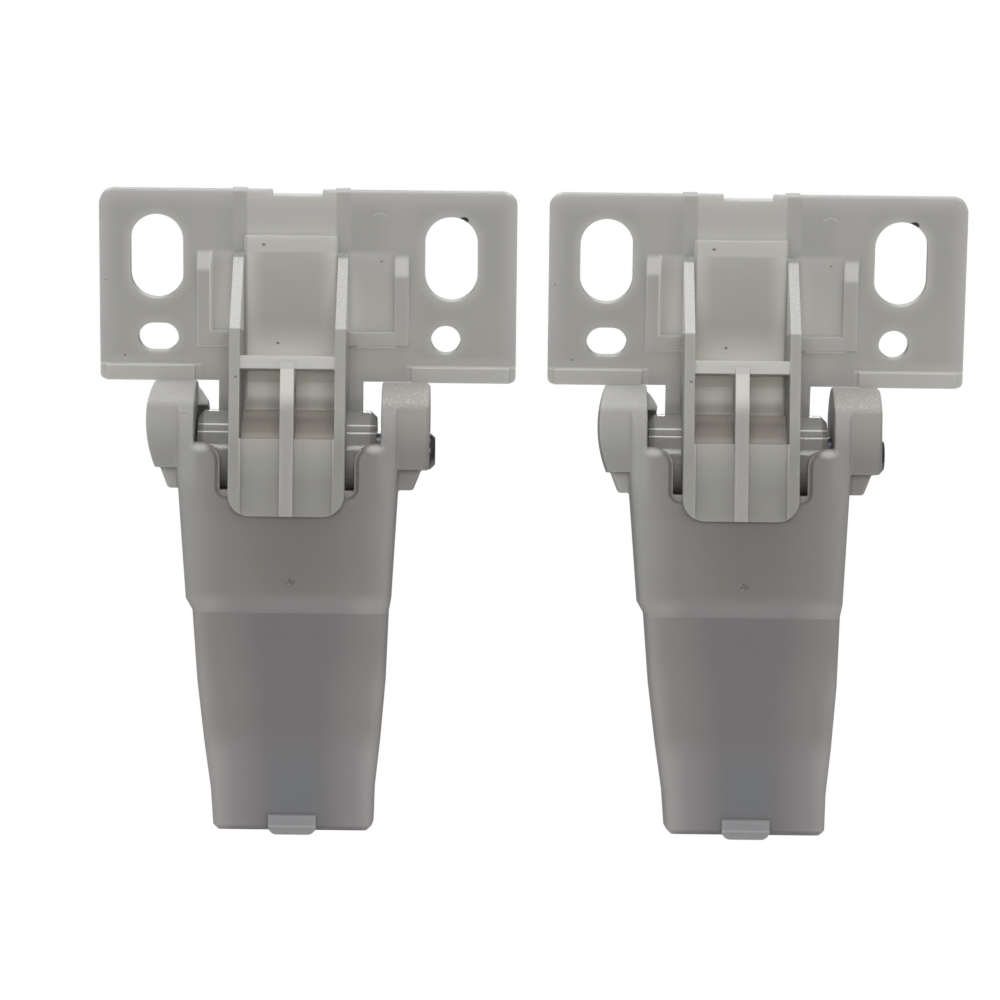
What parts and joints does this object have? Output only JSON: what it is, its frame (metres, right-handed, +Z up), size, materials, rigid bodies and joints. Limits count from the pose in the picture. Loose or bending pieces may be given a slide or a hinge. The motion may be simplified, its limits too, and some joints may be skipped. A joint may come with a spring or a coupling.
{
  "type": "pair of printer document feeder hinges",
  "caption": "Pair of spring hinges for a printer's document feeder lid: leaning screw plate, cam arm, steel pin and tapered plug-in housing.",
  "frame": {"origin": "midway between the two hinges, on the plane of the housing shoulders that rest on the printer's rear frame, at the depth of the pivot axes", "axes": "+Z up as installed, +X along the pivot axes from the left hinge to the right one, -Y towards the back of the printer, where the tongues are"},
  "size_m": [0.1402, 0.026, 0.1042],
  "materials": {
    "housing_plastic": "satin natural plastic, milky",
    "bracket_plastic": "satin natural plastic, milky",
    "pin_steel": "ground and polished",
    "slider_plastic": "satin",
    "spring_steel": "drawn wire"
  },
  "bodies": {
    "root": {"left_housing": "housing_plastic", "left_pivot_pin": "pin_steel", "left_compression_spring": "spring_steel", "right_housing": "housing_plastic", "right_pivot_pin": "pin_steel", "right_compression_spring": "spring_steel"},
    "left_bracket": {"left_lid_bracket": "bracket_plastic"},
    "left_slider": {"left_cam_slider": "slider_plastic"},
    "right_bracket": {"right_lid_bracket": "bracket_plastic"},
    "right_slider": {"right_cam_slider": "slider_plastic"}
  },
  "joints": [
    {"name": "left_lid_pivot", "type": "hinge", "parent": "root", "child": "left_bracket", "pos_m": [-0.03635, 0, 0.0259], "axis": [-1, 0, 0], "range_deg": [0, 105]},
    {"name": "left_cam_slide", "type": "slide", "parent": "root", "child": "left_slider", "axis": [0, 0, -1], "range_m": [0, 0.007], "deforming": ["left_compression_spring"]},
    {"name": "right_lid_pivot", "type": "hinge", "parent": "root", "child": "right_bracket", "pos_m": [0.03635, 0, 0.0259], "axis": [-1, 0, 0], "range_deg": [0, 105]},
    {"name": "right_cam_slide", "type": "slide", "parent": "root", "child": "right_slider", "axis": [0, 0, -1], "range_m": [0, 0.007], "deforming": ["right_compression_spring"]}
  ],
  "couplings": [
    {"joint": "left_cam_slide", "follows": "left_lid_pivot", "m_per_rad": 0.0038},
    {"joint": "right_cam_slide", "follows": "right_lid_pivot", "m_per_rad": 0.0038}
  ]
}
